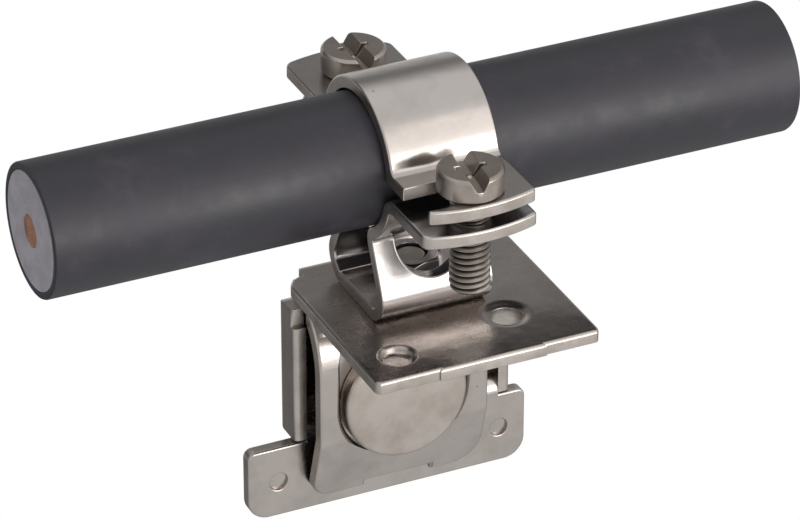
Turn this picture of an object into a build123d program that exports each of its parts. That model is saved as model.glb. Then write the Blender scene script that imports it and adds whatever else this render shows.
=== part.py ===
# Roof conductor holder of folded stainless steel, shown with a short piece of conductor.
#
# A folded bracket carries everything. Its flat plate is on top, its back wall drops from the
# rear edge and steps forward into a wide foot. A pressed jaw is pulled against that foot by a
# round-headed carriage bolt, so the two grip the standing seam of a metal roof. On the plate
# sits a folded strap whose cradle holds the conductor, under a half-round clip that two slotted
# screws pull down.
#
# Frame, in millimetres: X runs along the conductor, Y points away from the viewer of the front,
# Z points up. The origin is on the front face of the foot, at the middle of its height and in the
# plane of the bolt: it is where the roof seam is gripped.

import os
from math import asin, cos, radians, sin, sqrt, tan

from build123d import *

# Driving dimensions

# Sheet metal of bracket, jaw, strap and clip
sheet = 2.0                  # thickness of every folded piece
bend_inside = 1.0            # inside radius of the tight bends

# Bracket
plate_left = 15.7            # plate edge left of the bolt's plane
plate_right = 20.2           # plate edge right of the bolt's plane
plate_front = 30.0           # plate's front edge in front of the foot's face
plate_corner = 1.6           # corner radius at the front
plate_rear_corner = 2.9      # corner radius beside the rear bend
plate_height = 33.2          # top of the plate above the origin
wall_back = 5.1              # front face of the back wall behind the foot's face
plate_side_rear = 3.2        # free rear edge of the plate beside the bend, behind the foot's face
shear_step = 0.3             # mark that the cutting tool leaves along an edge
shear_left_end = 10.0        # the front edge's left mark is this long from the plate's left edge
shear_right_end = 8.9        # and its right mark from the right edge
foot_left = 23.4
foot_right = 22.8
foot_height = 12.0
step_start = 0.6             # height over the foot where the wall starts to step back
step_rise = 3.6              # height over the foot where it is back at the wall
foot_lower_corner = 3.4
foot_upper_corner = 1.3
flange_slit = 0.35           # cut between the flange's lower end and the foot
flange_drop = 2.2            # the flanges end this far under the plate
flange_relief = 3.0          # height of the deeper cut at the top of their front edges
flange_cut = 0.8             # depth of that cut
flange_crown = 4.0           # radius of the flange's rear top corner
flange_root = 1.0            # flat part of the wall that the flange's bend starts from
relief_width = 3.0           # notch beside the rear bend, so that plate and flange fold freely
relief_corner = 3.0          # rounding of the bend beside the notch
nib_spacing = 36.8           # two round marks pressed into the foot
nib_radius = 1.45
nib_depth = 0.6
nib_draft = 0.1              # a nib is this much smaller at the back

# Dimple and hole in the plate
dimple_radius = 2.7
dimple_x = -9.7
dimple_y = -23.7
dimple_depth = 1.1           # blind: the sheet is pushed down, and stands out below
dimple_floor_radius = 2.2
dimple_nib_radius = 1.9      # what stands out below
dished_hole_radius = 2.4
dished_hole_x = 9.7
dished_hole_y = -19.6
dish_radius = 3.6            # dent that surrounds the dished hole
dish_depth = 0.5
dish_lip = 0.15              # flat ring between dent and hole

# Jaw
jaw_width = 27.7
jaw_face = 5.5               # front face of the jaw in front of the foot's face
jaw_bottom = 3.0             # lip's lower edge above the foot's lower edge
jaw_bend = 14.1              # where the lip starts to slope back, above the foot's lower edge
jaw_crown_drop = 12.0        # where the top starts to curve back, under the plate's underside
jaw_crown_radius = 13.0      # outside radius of that curve
jaw_crown_angle = 50.0       # how far the top curves round, in degrees
jaw_top_radius = 5.0         # outside radius of the last, tighter bend
jaw_top_angle = 85.0         # the top end then lies this far round, nearly level
jaw_top_gap = 0.3            # between the jaw's top end and the back wall or the flanges
jaw_gap = 0.05               # between lip and foot when the jaw is shut
jaw_corner_left = 3.0
jaw_corner_right = 5.0
jaw_notch = 1.1              # the middle of the lip's edge is this much higher
jaw_notch_left = -5.2
jaw_notch_right = 5.7
seat_depth = 2.0             # the bolt head's seat is pressed this deep
seat_gap = 0.4               # round the bolt head
seat_wall = 1.6              # pressed wall round the seat
seat_top = 5.4               # the seat's pressed wall ends this far over the start of the curve

# Carriage bolt M8 with washer and nut
bolt_radius = 4.0
bolt_height = 19.5           # bolt axis above the foot's lower edge
bolt_length = 25.0           # below the head
bolt_head_radius = 9.9
bolt_rim = 3.1               # straight edge of the head
bolt_dome = 0.6              # crown of the head over that edge
bolt_edge = 0.5              # chamfer between the two
bolt_neck = 8.0              # side of the square neck
bolt_neck_length = 3.0
bolt_neck_round = 1.3        # diagonal of the neck, as a multiple of the bolt's diameter
bolt_end_chamfer = 0.8
bolt_fit = 0.05              # radial play in the nut
neck_play = 0.15             # play of the square neck in its hole, on each side
wall_play = 0.5              # radial play of the bolt in the wall and the washer
washer_radius = 8.0
washer_thickness = 1.6
nut_flats = 13.0
nut_height = 6.5
nut_face = 0.95              # round face of a nut, as a share of its width over flats
nut_chamfer_angle = 30.0

# Conductor
conductor_radius = 10.0
insulation_radius = 8.85
core_radius = 2.45
conductor_length = 118.0
conductor_y = -7.3           # conductor's axis behind the foot's face
conductor_rise = 24.0        # conductor's axis above the plate

# Strap, folded to a cradle
strap_width = 17.8
strap_end_radius = 25.2      # ends of strap and clip are cut on this circle
strap_rear_corner = 7.5      # the rear end is rounded off round its screw
corner_left = 1.6            # front corners of strap and clip
corner_right = 0.9
clip_rear_corner = 1.6
cradle_gap = 0.05            # between conductor and cradle
strap_base = 6.6             # half width of the base at its underside
strap_foot_bend = 10.4       # half width where the walls would meet the base
strap_neck = 5.7             # half width at the neck, outside
strap_shoulder = 3.4         # height above the plate where a wall is widest
cradle_top = 1.0             # cradle's flanges end this far under the axis
window_radius = 5.3          # round window in both walls of the strap
window_drop = 11.9           # its centre under the conductor's axis
strap_base_bend = 2.6        # bends' inside radii, from the base up: base to wall
strap_shoulder_bend = 3.6    # at the shoulder
strap_neck_bend = 0.8        # at the neck, under the cradle
strap_flange_bend = 1.4      # from the cradle to its flange

# Clip over the conductor
clip_width = 17.2
clip_rear_radius = 27.3      # the clip's rear end is longer, and cut on this circle
clip_hole_radius = 3.3       # screw hole in the clip's rear flange
clip_gap = 0.3               # between conductor and clip
clip_rise = 3.0              # top of the clip's flanges above the axis
clip_root_top = 1.4          # fillet between shell and flange, on top
slot_inner = 16.0            # slot from this distance off the axis
slot_outer = 23.2            # to this one

# Clip screws M6
screw_spacing = 40.0
screw_radius = 3.0
screw_length = 16.0          # below the head
screw_head_radius = 4.9
screw_head_height = 3.8
screw_head_edge = 0.4        # chamfer of the head's upper edge
screw_head_under = 0.4       # and of its lower edge
screw_fit = 0.05             # radial play in the strap's threaded hole
screw_slot_top = 2.9         # width of the slot at the head's face
screw_slot_floor = 0.9       # width of the slot at its floor
screw_slot_depth = 1.8
screw_cross_width = 0.85     # cross recess that is cut over the slot
screw_cross_length = 4.6
screw_cross_depth = 2.4
front_slot_turn = 82.0       # turn of the front screw's slot, in degrees from X
rear_slot_turn = 90.0        # and of the rear one's
screw_end_chamfer = 0.6

# Stud M5 pressed into the plate, and the nut that holds the strap on it
stud_radius = 2.5
stud_head_radius = 3.9       # flush head in the underside of the plate
stud_head_height = 1.3
stud_gap = 0.05              # radial play of strap and nut on the stud
stud_under_nut_top = 0.4     # the stud ends this far under the nut's top
strap_nut_flats = 8.0
strap_nut_height = 4.4
strap_nut_turn = 12.0        # turn of the nut about the stud, in degrees
stud_end_chamfer = 0.4

# Worked out from the above
foot_bottom = -foot_height / 2
foot_top = foot_height / 2
plate_bottom = plate_height - sheet
wall_rear = wall_back + sheet
bolt_z = foot_bottom + bolt_height
lip_z = foot_bottom + jaw_bottom
crown_z = plate_bottom - jaw_crown_drop
flange_high = plate_bottom - flange_drop
axis_z = plate_height + conductor_rise
cradle_inside = conductor_radius + cradle_gap
cradle_outside = cradle_inside + sheet
clip_inside = conductor_radius + clip_gap
clip_outside = clip_inside + sheet
bend_outside = bend_inside + sheet
screw_offset = screw_spacing / 2
seat_radius = bolt_head_radius + seat_gap
far = 200.0                  # longer than any piece, for cutting
spill = 1.0                  # how far a cutting tool reaches past the face that it leaves
near = 0.05                  # how close an edge must be to the place that it is picked by


def box(x0, x1, y0, y1, z0, z1):
    """A block between two corners."""
    size = Box(x1 - x0, y1 - y0, z1 - z0, align=(Align.MIN, Align.MIN, Align.MIN))
    return Pos(x0, y0, z0) * size


def bar_z(radius, x, y, z0, z1):
    """A round bar that stands along Z."""
    return Pos(x, y, z0) * Cylinder(radius, z1 - z0, align=(Align.CENTER, Align.CENTER, Align.MIN))


def bar_y(radius, x, z, y0, y1):
    """A round bar that lies along Y."""
    bar = Cylinder(radius, y1 - y0, align=(Align.CENTER, Align.CENTER, Align.MIN))
    return Pos(x, y0, z) * Rot(-90, 0, 0) * bar


def bar_x(radius, y, z, x0, x1):
    """A round bar that lies along X."""
    bar = Cylinder(radius, x1 - x0, align=(Align.CENTER, Align.CENTER, Align.MIN))
    return Pos(x0, y, z) * Rot(0, 90, 0) * bar


def folded(path, side, x0, x1):
    """Sheet that follows a path drawn in Y and Z, from x0 to x1."""
    outline = offset(path, amount=sheet, side=side, closed=True)
    return Pos(x0, 0, 0) * extrude(Plane.YZ * make_face(outline), amount=x1 - x0, dir=(1, 0, 0))


def wall_profile():
    """Outer face of the bracket's folded strip, from the plate's front edge to the foot."""
    return FilletPolyline(
        (-plate_front, plate_height),
        (wall_rear, plate_height),
        (wall_rear, foot_top + step_rise),
        (sheet, foot_top + step_start),
        (sheet, foot_bottom),
        radius=[bend_outside, bend_outside, bend_inside],
    )


def bracket():
    """Plate, back wall, step and foot in one folded strip, with a flange at each end."""
    left, right = -plate_left, plate_right
    strip = folded(wall_profile(), Side.RIGHT, -foot_left, foot_right)
    # The strip is as wide as the plate above the foot, and the foot is wider.
    strip -= box(-far, left, -far, far, foot_top, far)
    strip -= box(right, far, -far, far, foot_top, far)
    # Notches beside the rear bend let plate and flanges fold separately.
    for x0, x1 in ((left, left + relief_width), (right - relief_width, right)):
        strip -= box(x0, x1, sheet, far, foot_top, plate_bottom)
        strip -= box(x0, x1, plate_side_rear, far, plate_bottom - bend_outside, far)
    strip -= box(-far, left + sheet, -far, far, foot_top, foot_top + flange_slit + sheet)
    strip -= box(right - sheet, far, -far, far, foot_top, foot_top + flange_slit + sheet)

    # Round the plate's corners.
    front = strip.edges().filter_by(Axis.Z).filter_by_position(
        Axis.Y, -plate_front - near, -plate_front + near)
    strip = fillet(front, plate_corner)
    rear = [e for e in strip.edges().filter_by(Axis.Z)
            if abs(e.center().Y - plate_side_rear) < near
            and min(abs(e.center().X - left), abs(e.center().X - right)) < near
            and e.center().Z > plate_bottom]
    strip = fillet(rear, plate_rear_corner)
    # The bend's own ends are rounded as well.
    bend_low = plate_bottom - bend_inside
    for x, turn in ((left + relief_width, 1), (right - relief_width, -1)):
        middle = x + turn * relief_corner
        corner = box(min(x, middle), max(x, middle), wall_rear - relief_corner, far, bend_low, far)
        strip -= corner - bar_z(relief_corner, middle, wall_rear - relief_corner, bend_low, far)

    # Round the foot's corners.
    for z, radius in ((foot_bottom, foot_lower_corner), (foot_top, foot_upper_corner)):
        corners = [e for e in strip.edges().filter_by(Axis.Y)
                   if (e.center().X < -foot_left + near or e.center().X > foot_right - near)
                   and abs(e.center().Z - z) < near]
        strip = fillet(corners, radius)

    # Flanges, each bent forward from the end of the wall.
    low = foot_top + flange_slit
    for end, turn, side in ((left, 1, Side.LEFT), (right, -1, Side.RIGHT)):
        path = FilletPolyline(
            (end + turn * (relief_width + flange_root), wall_rear),
            (end, wall_rear),
            (end, 0),
            radius=bend_outside,
        )
        outline = offset(path, amount=sheet, side=side, closed=True)
        flange = Pos(0, 0, low) * extrude(
            make_face(outline), amount=flange_high - low, dir=(0, 0, 1))
        crown_y = wall_rear - flange_crown
        crown = box(-far, far, -far, crown_y, low, flange_high)
        crown += box(-far, far, -far, far, low, flange_high - flange_crown)
        crown += bar_x(flange_crown, crown_y, flange_high - flange_crown, -far, far)
        flange &= crown
        # The edge is cut a little deeper near the plate.
        flange -= box(-far, far, -far, flange_cut, flange_high - flange_relief, far)
        strip += flange

    # Marks left by the cutting tool on the front edge of the plate.
    low, high = plate_bottom - spill, plate_height + spill
    marked = -plate_front + shear_step
    strip -= box(-far, left + shear_left_end, -far, marked, low, high)
    strip -= box(right - shear_right_end, far, -far, marked, low, high)

    # Dimple and holes.
    strip -= Pos(dimple_x, dimple_y, plate_height - dimple_depth) * Cone(
        dimple_floor_radius, dimple_radius, dimple_depth,
        align=(Align.CENTER, Align.CENTER, Align.MIN))
    strip += bar_z(dimple_nib_radius, dimple_x, dimple_y, plate_bottom - dimple_depth, plate_bottom)
    strip -= bar_z(dished_hole_radius, dished_hole_x, dished_hole_y, low, high)
    dish = Pos(dished_hole_x, dished_hole_y, plate_height - dish_depth) * Cone(
        dished_hole_radius + dish_lip, dish_radius, dish_depth,
        align=(Align.CENTER, Align.CENTER, Align.MIN))
    strip -= dish
    strip -= bar_z(stud_radius, 0, conductor_y, low, high)
    strip -= bar_z(stud_head_radius, 0, conductor_y, low, plate_bottom + stud_head_height)
    strip -= bar_y(bolt_radius + wall_play, 0, bolt_z, sheet, wall_rear + spill)
    for x in (-nib_spacing / 2, nib_spacing / 2):
        strip -= bar_y(nib_radius, x, 0, -spill, nib_depth)
        strip += bar_y(nib_radius - nib_draft, x, 0, sheet, sheet + nib_depth)
    return strip


def seat_outline(radius):
    """The seat seen from the front: round below, open towards the jaw's top."""
    top = crown_z + jaw_crown_radius
    shape = Pos(0, bolt_z) * Circle(radius)
    shape += Pos(0, (bolt_z + top) / 2) * Rectangle(2 * radius, top - bolt_z)
    return shape


def seat_block(radius, y0, y1):
    """The seat's outline drawn in X and Z, and pushed from y0 to y1."""
    face = Plane(origin=(0, y1, 0), x_dir=(1, 0, 0), z_dir=(0, -1, 0)) * seat_outline(radius)
    return extrude(face, amount=y1 - y0, dir=(0, -1, 0))


def jaw_path():
    """Front face of the jaw: sloped lip, flat middle, top that curves back to the wall."""
    slope_rise = jaw_bend - jaw_bottom
    slope = jaw_face - jaw_gap - sheet
    lip_angle = slope / slope_rise
    lip_y = -(sheet * sqrt(1 + lip_angle ** 2) + jaw_gap)
    reach = jaw_crown_radius * tan(radians(jaw_crown_angle / 2))
    corner = (-jaw_face, crown_z + reach)
    turn = radians(jaw_top_angle - jaw_crown_angle)
    along = 1.01 * (reach + jaw_top_radius * tan(turn / 2))
    top = (corner[0] + along * sin(radians(jaw_crown_angle)),
           corner[1] + along * cos(radians(jaw_crown_angle)))
    end_y = wall_back - jaw_top_gap
    end = (end_y, top[1] + (end_y - top[0]) / tan(radians(jaw_top_angle)))
    return FilletPolyline(
        (lip_y, lip_z),
        (-jaw_face, foot_bottom + jaw_bend),
        corner,
        top,
        end,
        radius=[bend_outside, jaw_crown_radius, jaw_top_radius],
    )


def jaw():
    """Front jaw, pressed with a seat that keeps the bolt's head from standing out."""
    half = jaw_width / 2
    body = folded(jaw_path(), Side.RIGHT, -half, half)
    # Everything behind the front face, to trim the pressed seat to it.
    front = jaw_path()
    behind = Polyline(front @ 1, (far, (front @ 1).Y), (far, (front @ 0).Y), front @ 0)
    region = Pos(-half, 0, 0) * extrude(Plane.YZ * make_face([*front.edges(), *behind.edges()]),
                                        amount=jaw_width, dir=(1, 0, 0))
    floor_front = -jaw_face + seat_depth
    pan = seat_block(seat_radius + seat_wall, -jaw_face, floor_front + sheet) & region
    pan -= box(-far, far, -far, far, crown_z + seat_top, far)
    body += pan
    body -= seat_block(seat_radius, -far, floor_front)

    # The lip's corners, and the raised middle of its edge.
    for side, radius in ((-1, jaw_corner_left), (1, jaw_corner_right)):
        x = side * half
        corner = box(min(x, x - side * radius), max(x, x - side * radius), -far, far,
                     lip_z - spill, lip_z + radius)
        corner -= bar_y(radius, x - side * radius, lip_z + radius, -far, far)
        body -= corner
    body -= box(jaw_notch_left, jaw_notch_right, -far, far, lip_z - spill, lip_z + jaw_notch)

    # The top passes between the bracket's flanges.
    narrow = plate_left - sheet - jaw_top_gap
    for x0, x1 in ((-far, -narrow), (narrow, far)):
        body -= box(x0, x1, -jaw_top_gap, far, bolt_z, far)

    neck = bolt_neck / 2 + neck_play
    body -= box(-neck, neck, floor_front - spill, floor_front + sheet + spill,
                bolt_z - neck, bolt_z + neck)
    return body


def jaw_bolt():
    """Carriage bolt: low domed head, square neck, threaded shank."""
    seat = -jaw_face + seat_depth
    rim = bolt_head_radius
    crown_radius = (rim ** 2 + bolt_dome ** 2) / (2 * bolt_dome)
    head = bar_y(rim, 0, bolt_z, seat - bolt_rim - bolt_dome, seat)
    ball = Pos(0, seat - bolt_rim - bolt_dome + crown_radius, bolt_z) * Sphere(crown_radius)
    head &= ball
    rim_edge = [e for e in head.edges().filter_by(GeomType.CIRCLE)
                if abs(e.center().Y - (seat - bolt_rim)) < near]
    head = chamfer(rim_edge, bolt_edge)
    side = bolt_neck / 2
    neck = box(-side, side, seat, seat + bolt_neck_length, bolt_z - side, bolt_z + side)
    neck &= bar_y(bolt_neck_round * bolt_radius, 0, bolt_z, seat, seat + bolt_neck_length)
    shank = bar_y(bolt_radius, 0, bolt_z, seat, seat + bolt_length)
    shank = chamfer(shank.edges().filter_by(GeomType.CIRCLE).group_by(Axis.Y)[-1], bolt_end_chamfer)
    return head + neck + shank


def jaw_washer():
    """Flat washer behind the back wall."""
    ring = bar_y(washer_radius, 0, bolt_z, wall_rear, wall_rear + washer_thickness)
    return ring - bar_y(bolt_radius + wall_play, 0, bolt_z, 0, far)


def hexagon_nut(flats, height, bore_radius):
    """Hexagon nut with chamfered corners, standing on the origin along Z."""
    blank = extrude(RegularPolygon(flats / 2, 6, major_radius=False), amount=height)
    corner = flats / sqrt(3)
    face = nut_face * flats / 2
    slope = (corner - face) * tan(radians(nut_chamfer_angle))
    cones = Cylinder(corner + spill, height - 2 * slope, align=(Align.CENTER, Align.CENTER, Align.MIN))
    cones = Pos(0, 0, slope) * cones
    tip = Cone(corner, face, slope, align=(Align.CENTER, Align.CENTER, Align.MIN))
    cones += Pos(0, 0, height - slope) * tip
    cones += Pos(0, 0, slope) * Rot(180, 0, 0) * tip
    return (blank & cones) - Cylinder(bore_radius, 3 * height)


def jaw_nut():
    """Nut on the jaw's bolt, behind the washer."""
    nut = hexagon_nut(nut_flats, nut_height, bolt_radius + bolt_fit)
    return Pos(0, wall_rear + washer_thickness, bolt_z) * Rot(-90, 0, 0) * nut


def strap_nut():
    """Nut on the stud, inside the folded strap."""
    nut = hexagon_nut(strap_nut_flats, strap_nut_height, stud_radius + stud_gap)
    return Pos(0, conductor_y, plate_height + sheet) * Rot(0, 0, strap_nut_turn) * nut


def strap_stud():
    """Stud with a flush head in the underside of the plate."""
    end = plate_height + sheet + strap_nut_height - stud_under_nut_top
    head = bar_z(stud_head_radius, 0, conductor_y, plate_bottom, plate_bottom + stud_head_height)
    shank = bar_z(stud_radius, 0, conductor_y, plate_bottom, end)
    shank = chamfer(shank.edges().filter_by(GeomType.CIRCLE).group_by(Axis.Z)[-1], stud_end_chamfer)
    return head + shank


def end_cut(width, rear_radius, rear_corner, z0, z1):
    """Plan outline of strap and clip: straight sides, and ends cut on a circle."""
    half = width / 2
    front = bar_z(strap_end_radius, 0, conductor_y, z0, z1) & box(
        -half, half, -far, conductor_y, z0, z1)
    rear = bar_z(rear_radius, 0, conductor_y, z0, z1) & box(
        -half, half, conductor_y, far, z0, z1)
    corners = front.edges().filter_by(Axis.Z).group_by(Axis.Y)[0].sort_by(Axis.X)
    front = fillet(corners[0], corner_left)
    corners = front.edges().filter_by(Axis.Z).sort_by_distance((half, conductor_y - rear_radius, z0))
    front = fillet(corners[0], corner_right)
    rear = fillet(rear.edges().filter_by(Axis.Z).group_by(Axis.Y)[-1], rear_corner)
    return front + rear


def both_sides(half):
    """A half section and its mirror image on the other side of the conductor."""
    return half + mirror(half, Plane.XZ.offset(-conductor_y))


def strap():
    """Strap folded from one strip: base, leaning walls, cradle and flanges."""
    flange_under = -cradle_top - sheet
    meet = -sqrt(cradle_outside ** 2 - strap_neck ** 2)
    shoulder_z = -conductor_rise + strap_shoulder
    lower = Polyline(
        (0, -conductor_rise),
        (strap_base, -conductor_rise),
        (strap_foot_bend, shoulder_z),
        (strap_neck, meet),
    )
    out_y = sqrt(cradle_outside ** 2 - flange_under ** 2)
    middle_angle = (asin(strap_neck / cradle_outside) + asin(out_y / cradle_outside)) / 2
    middle = (cradle_outside * sin(middle_angle), -cradle_outside * cos(middle_angle))
    cradle = ThreePointArc((strap_neck, meet), middle, (out_y, flange_under))
    flange = Line((out_y, flange_under), (strap_end_radius + spill, flange_under))
    path = Wire([*lower.edges(), cradle.edge(), flange.edge()])
    bends = (
        (strap_base, -conductor_rise, strap_base_bend),
        (strap_foot_bend, shoulder_z, strap_shoulder_bend),
        (strap_neck, meet, strap_neck_bend),
        (out_y, flange_under, strap_flange_bend),
    )
    for x, y, radius in bends:
        corner = path.vertices().sort_by_distance((x, y, 0))[0]
        path = path.fillet_2d(radius, [corner])
    half = strap_width / 2
    outline = offset(path, amount=sheet, side=Side.LEFT, closed=True)
    section = Plane.YZ * make_face(outline)
    right = Pos(-half, conductor_y, axis_z) * extrude(section, amount=strap_width, dir=(1, 0, 0))
    body = both_sides(right)
    body &= end_cut(strap_width, strap_end_radius, strap_rear_corner, plate_height - spill, axis_z)
    for y in (-screw_offset, screw_offset):
        body -= bar_z(screw_radius + screw_fit, 0, conductor_y + y, axis_z + flange_under - spill,
                      axis_z)
    body -= bar_y(window_radius, 0, axis_z - window_drop, -far, far)
    body -= bar_z(stud_radius + stud_gap, 0, conductor_y, plate_height - spill,
                  plate_height + sheet + spill)
    return body


def top_clip():
    """Half-round clip over the conductor, with an open slot in each flange."""
    outer_root = sqrt(clip_outside ** 2 - clip_rise ** 2)
    under = clip_rise - sheet
    inner_root = sqrt(clip_inside ** 2 - under ** 2)
    shell = Circle(clip_outside) - Circle(clip_inside)
    reach = clip_rear_radius + spill
    lower_cut = Pos(0, -far / 2 + under) * Rectangle(far, far)
    shell -= lower_cut
    tabs = Pos(0, under + sheet / 2) * Rectangle(2 * reach, sheet)
    tabs -= Pos(0, under) * Rectangle(2 * inner_root, 2 * sheet + 1)
    section = shell + tabs
    top_creases = [v for v in section.vertices() if abs(v.Y - clip_rise) < near
                   and abs(abs(v.X) - outer_root) < near]
    section = fillet(top_creases, clip_root_top)
    half = clip_width / 2
    body = Pos(-half, conductor_y, axis_z) * extrude(Plane.YZ * section, amount=clip_width,
                                                     dir=(1, 0, 0))
    body &= end_cut(clip_width, clip_rear_radius, clip_rear_corner, axis_z, axis_z + far)
    # The front flange has a slot that opens to the left, and the rear one a round hole.
    low, high = axis_z, axis_z + clip_rise + spill
    y = conductor_y - (slot_inner + slot_outer) / 2
    wide = (slot_outer - slot_inner) / 2
    body -= bar_z(wide, 0, y, low, high)
    body -= box(-far, 0, y - wide, y + wide, low, high)
    body -= bar_z(clip_hole_radius, 0, conductor_y + screw_offset, low, high)
    return body


def clip_screw(side):
    """Slotted cheese-head screw; side is -1 for the front one and 1 for the rear one."""
    seat = axis_z + clip_rise
    y = conductor_y + side * screw_offset
    head = bar_z(screw_head_radius, 0, y, seat, seat + screw_head_height)
    rim = head.edges().filter_by(GeomType.CIRCLE).group_by(Axis.Z)[-1]
    head = chamfer(rim, screw_head_edge)
    rim = head.edges().filter_by(GeomType.CIRCLE).group_by(Axis.Z)[0]
    head = chamfer(rim, screw_head_under)
    top = seat + screw_head_height
    flank = (screw_slot_top - screw_slot_floor) / 2 / screw_slot_depth
    wide = screw_slot_top / 2 + flank * spill
    floor = screw_slot_floor / 2
    trench = make_face(Polyline((-wide, spill), (wide, spill), (floor, -screw_slot_depth),
                                (-floor, -screw_slot_depth), close=True))
    reach = screw_head_radius + spill
    slot = Pos(-reach, 0, 0) * extrude(Plane.YZ * trench, amount=2 * reach, dir=(1, 0, 0))
    cross = Box(screw_cross_length, screw_cross_width, 2 * screw_cross_depth)
    cross += Box(screw_cross_width, screw_cross_length, 2 * screw_cross_depth)
    cross &= Pos(0, 0, -screw_cross_depth) * Cone(
        screw_cross_width / 2, screw_cross_length / 2 + spill, screw_cross_depth + spill,
        align=(Align.CENTER, Align.CENTER, Align.MIN))
    turn = front_slot_turn if side < 0 else rear_slot_turn
    head -= Pos(0, y, top) * Rot(0, 0, turn) * (slot + cross)
    shank = bar_z(screw_radius, 0, y, seat - screw_length, seat)
    shank = chamfer(shank.edges().filter_by(GeomType.CIRCLE).group_by(Axis.Z)[0], screw_end_chamfer)
    return head + shank


def conductor():
    """Straight piece of conductor, as sheath, insulation and core."""
    half = conductor_length / 2
    sheath = bar_x(conductor_radius, conductor_y, axis_z, -half, half)
    sheath -= bar_x(insulation_radius, conductor_y, axis_z, -far, far)
    insulation = bar_x(insulation_radius, conductor_y, axis_z, -half, half)
    insulation -= bar_x(core_radius, conductor_y, axis_z, -far, far)
    core = bar_x(core_radius, conductor_y, axis_z, -half, half)
    return sheath, insulation, core


if __name__ == "__main__":
    sheath, insulation, core = conductor()
    parts = {
        "bracket": bracket(),
        "front_jaw": jaw(),
        "jaw_bolt": jaw_bolt(),
        "jaw_washer": jaw_washer(),
        "jaw_nut": jaw_nut(),
        "cradle_strap": strap(),
        "strap_stud": strap_stud(),
        "strap_nut": strap_nut(),
        "top_clip": top_clip(),
        "clip_screw_front": clip_screw(-1),
        "clip_screw_rear": clip_screw(1),
        "conductor_sheath": sheath,
        "conductor_insulation": insulation,
        "conductor_core": core,
    }
    os.makedirs("parts", exist_ok=True)
    for name, part in parts.items():
        export_step(part, f"parts/{name}.step")
        print(name, round(part.volume, 1), len(part.solids()), part.is_valid)
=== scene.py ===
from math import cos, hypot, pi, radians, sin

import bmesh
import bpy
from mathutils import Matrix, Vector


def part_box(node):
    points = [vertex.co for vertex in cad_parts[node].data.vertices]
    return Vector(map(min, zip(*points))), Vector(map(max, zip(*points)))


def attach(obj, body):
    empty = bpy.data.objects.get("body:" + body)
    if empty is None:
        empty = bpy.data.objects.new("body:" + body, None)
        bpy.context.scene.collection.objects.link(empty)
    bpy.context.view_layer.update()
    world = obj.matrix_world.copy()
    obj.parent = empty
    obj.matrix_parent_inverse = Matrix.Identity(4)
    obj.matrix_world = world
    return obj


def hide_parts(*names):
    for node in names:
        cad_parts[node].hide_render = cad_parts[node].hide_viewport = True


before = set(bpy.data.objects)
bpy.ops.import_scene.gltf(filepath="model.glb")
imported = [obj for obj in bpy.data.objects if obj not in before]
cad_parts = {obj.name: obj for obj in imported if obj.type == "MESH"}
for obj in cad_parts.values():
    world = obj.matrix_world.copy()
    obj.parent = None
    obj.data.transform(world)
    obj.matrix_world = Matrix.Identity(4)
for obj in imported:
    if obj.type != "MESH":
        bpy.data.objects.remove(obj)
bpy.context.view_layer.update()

# %% [markdown]
# # A roof conductor holder
#
# The real object is folded from stainless sheet, two millimetres thick. A bracket grips the
# standing seam of a metal roof, and a strap and a clip on top of it hold a sheathed conductor.
# The shapes come from the CAD model, which is loaded above, in metres. In this lesson each piece
# gets what cutting, folding and tumbling leave on a real one: soft edges, threads, sheared or
# sawn faces, and a finish.

MM = 0.001
print("nodes in the frame:", sorted(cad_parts))

# %% [markdown]
# ## Colours
#
# Colours are written as hex values, as a paint chart gives them. Blender mixes light in linear
# values, so one function turns the first into the second.


# %% Colours
def linear(hex_colour):
    """Linear colour of an sRGB hex value."""
    channels = [int(hex_colour[i:i + 2], 16) / 255 for i in (0, 2, 4)]
    return tuple(c / 12.92 if c <= 0.04045 else ((c + 0.055) / 1.055) ** 2.4
                 for c in channels) + (1,)


def grey(value):
    """Opaque grey of a linear value."""
    return (value, value, value, 1)


print("mid grey in linear values:", [round(v, 3) for v in linear("808080")])

# %% [markdown]
# ## Materials
#
# A material is a small graph of nodes. One helper adds a node, gives its sockets their values and
# links, and returns it, so that each graph below reads as a list of what it does. Noise nearly
# always lies between 0.3 and 0.7, so those are the limits that it is stretched from.

# %% Helpers for materials
NOISE = {"From_Min": 0.3, "From_Max": 0.7}


def new_material(name):
    """Empty material with its surface shader, and the node tree that they are in."""
    material = bpy.data.materials.new(name)
    material.use_nodes = True
    tree = material.node_tree
    tree.nodes.clear()
    shader = tree.nodes.new("ShaderNodeBsdfPrincipled")
    output = tree.nodes.new("ShaderNodeOutputMaterial")
    tree.links.new(shader.outputs["BSDF"], output.inputs["Surface"])
    return material, tree, shader


def add(tree, kind, settings=None, stops=(), **sockets):
    """Node with its settings, its ramp's colour stops, and its sockets' values or links.

    A socket goes by its name, with _ for a space, or by _ and its number.
    """
    node = tree.nodes.new(kind)
    for key, value in (settings or {}).items():
        setattr(node, key, value)
    for name, value in sockets.items():
        number = name[1:]
        socket = node.inputs[int(number) if number.isdigit() else name.replace("_", " ")]
        if isinstance(value, bpy.types.NodeSocket):
            tree.links.new(value, socket)
        else:
            socket.default_value = value
    if stops:
        elements = node.color_ramp.elements
        while len(elements) < len(stops):
            elements.new(0.5)
        for element, (position, colour) in zip(elements, stops):
            element.position = position
            element.color = colour
    return node


print("materials that came with the frame:", len(bpy.data.materials))

# %% [markdown]
# ## Stainless steel
#
# The sheet pieces are pickled stainless steel, EN 1.4301 in mill finish, and the screws, bolt and
# nuts are the same steel, turned or pressed. Rolling leaves a very fine grain in one direction.
# Folding and tumbling leave cloudy patches of slightly other gloss, slow waves and a few pits.
# The eye sees soft reflections with a slight streak in them, on a warm grey. All of it is drawn
# by noise at real sizes, so one function serves every steel piece.

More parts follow.
